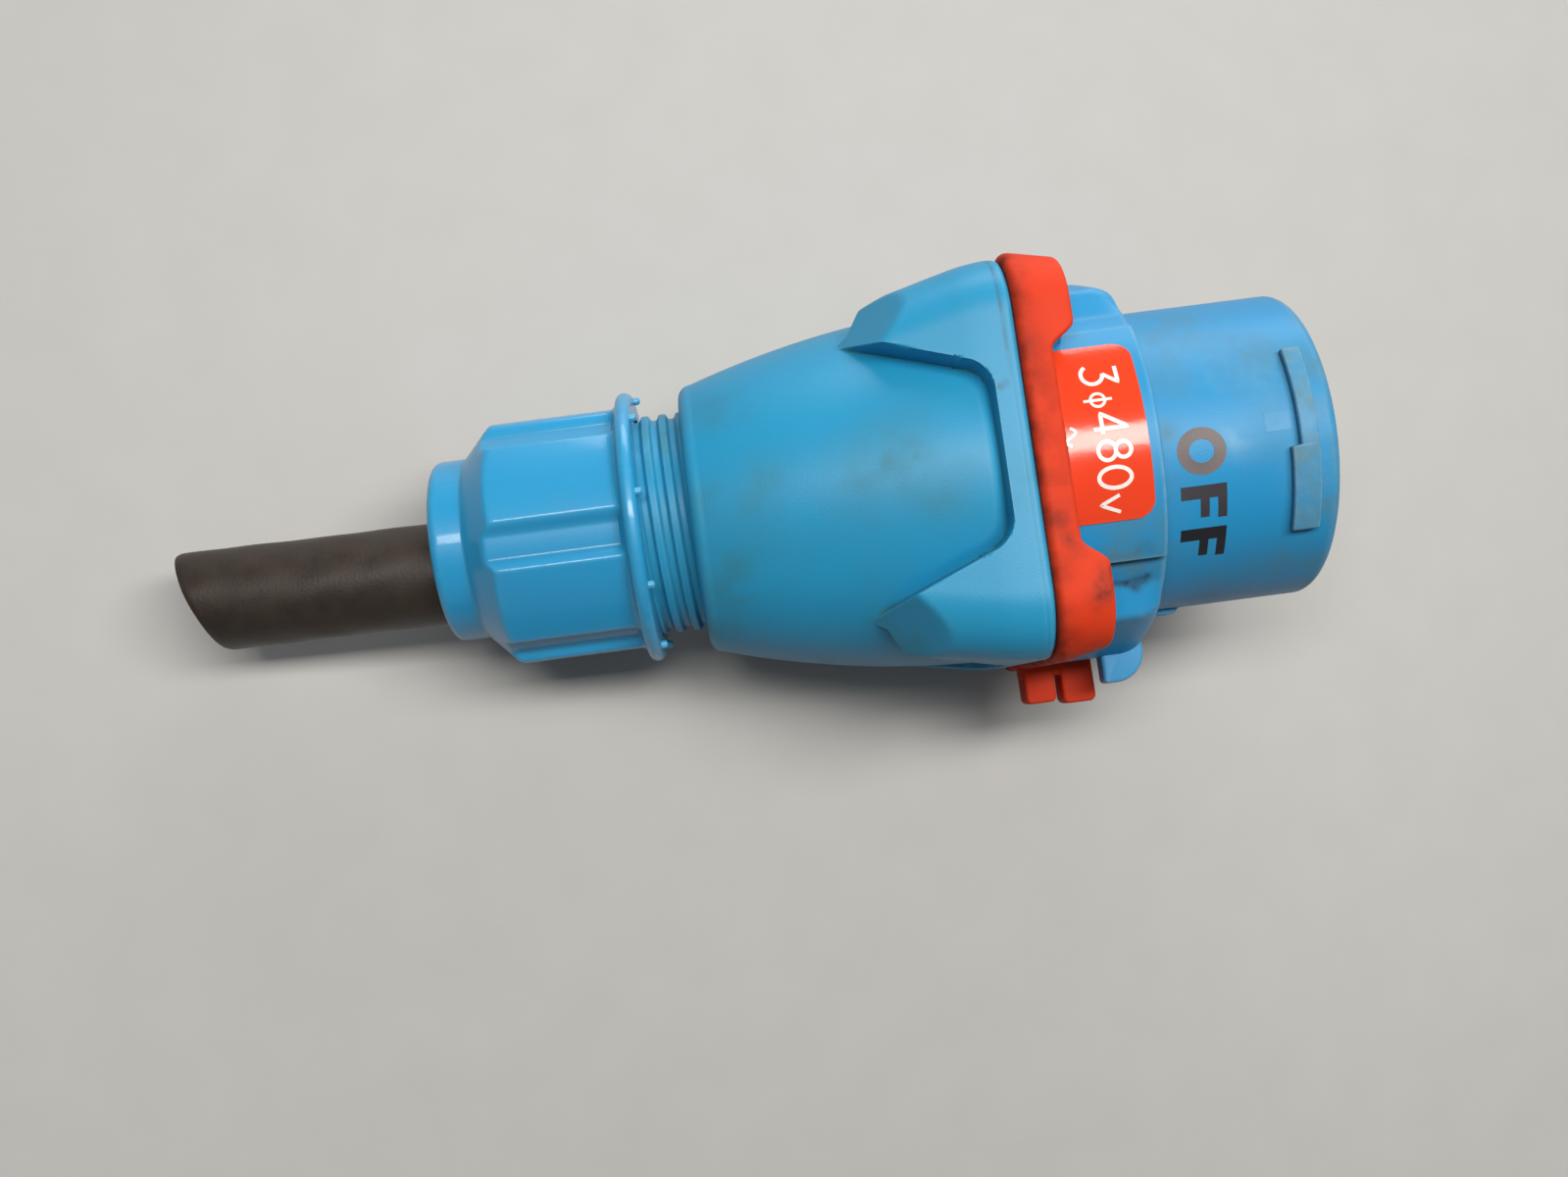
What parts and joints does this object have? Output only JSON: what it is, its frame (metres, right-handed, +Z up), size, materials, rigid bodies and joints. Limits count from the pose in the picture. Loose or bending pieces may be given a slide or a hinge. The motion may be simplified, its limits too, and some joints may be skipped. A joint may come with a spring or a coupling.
{
  "type": "appliance inlet",
  "caption": "Industrial plug inlet: shrouded pin contacts in a round bayonet nose, square gasketed flange, tapered cable handle and screw-on cable gland.",
  "frame": {"origin": "centre of the bounding box on the surface that the plug lies on", "axes": "+X horizontally towards the coupling nose, +Z up out of the label side, +Y to the side without the tether tab"},
  "size_m": [0.2618, 0.099, 0.0898],
  "materials": {
    "blue_shell": "moulded glass-filled polyester, satin, a little grimy",
    "blue_nut": "moulded nylon, smoother and brighter than the shell",
    "red_rubber": "soft moulded rubber",
    "label_film": "glossy printed film",
    "carrier_black": "moulded thermoset",
    "contact_brass": "machined brass",
    "fixing_steel": "plated steel",
    "cable_rubber": "satin black rubber sheath",
    "seal_rubber": "soft black rubber",
    "washer_nylon": "natural nylon",
    "core_black": "black insulation",
    "core_red": "red insulation",
    "core_white": "white insulation",
    "core_green": "green insulation",
    "copper": "bare stranded copper"
  },
  "bodies": {
    "plug": {"inlet_body": "blue_shell", "rating_label": "label_film", "contact_carrier": "carrier_black", "phase_pin_1": "contact_brass", "phase_pin_2": "contact_brass", "phase_pin_3": "contact_brass", "earth_pin": "contact_brass", "terminal_screws": "fixing_steel", "carrier_screws": "fixing_steel", "flange_gasket": "red_rubber", "flange_screws": "fixing_steel", "flange_inserts": "contact_brass", "handle": "blue_shell", "gland_seal": "seal_rubber", "cable_sheath": "cable_rubber", "phase_conductor_1": "core_black", "phase_conductor_2": "core_red", "phase_conductor_3": "core_white", "earth_conductor": "core_green", "copper_cores": "copper"},
    "washer_carriage": {"slip_washer": "washer_nylon"},
    "nut": {"gland_nut": "blue_nut"}
  },
  "joints": [
    {"name": "washer_slide", "type": "slide", "parent": "plug", "child": "washer_carriage", "axis": [-0.9901, 0, -0.1402], "range_m": [0, 0.012]},
    {"name": "nut_turn", "type": "hinge", "parent": "washer_carriage", "child": "nut", "pos_m": [-0.03915, 0.0045, 0.03053], "axis": [-0.9901, 0, -0.1402], "range_deg": [0, 1080]}
  ],
  "couplings": [
    {"joint": "washer_slide", "follows": "nut_turn", "m_per_rad": 0.00063662}
  ]
}
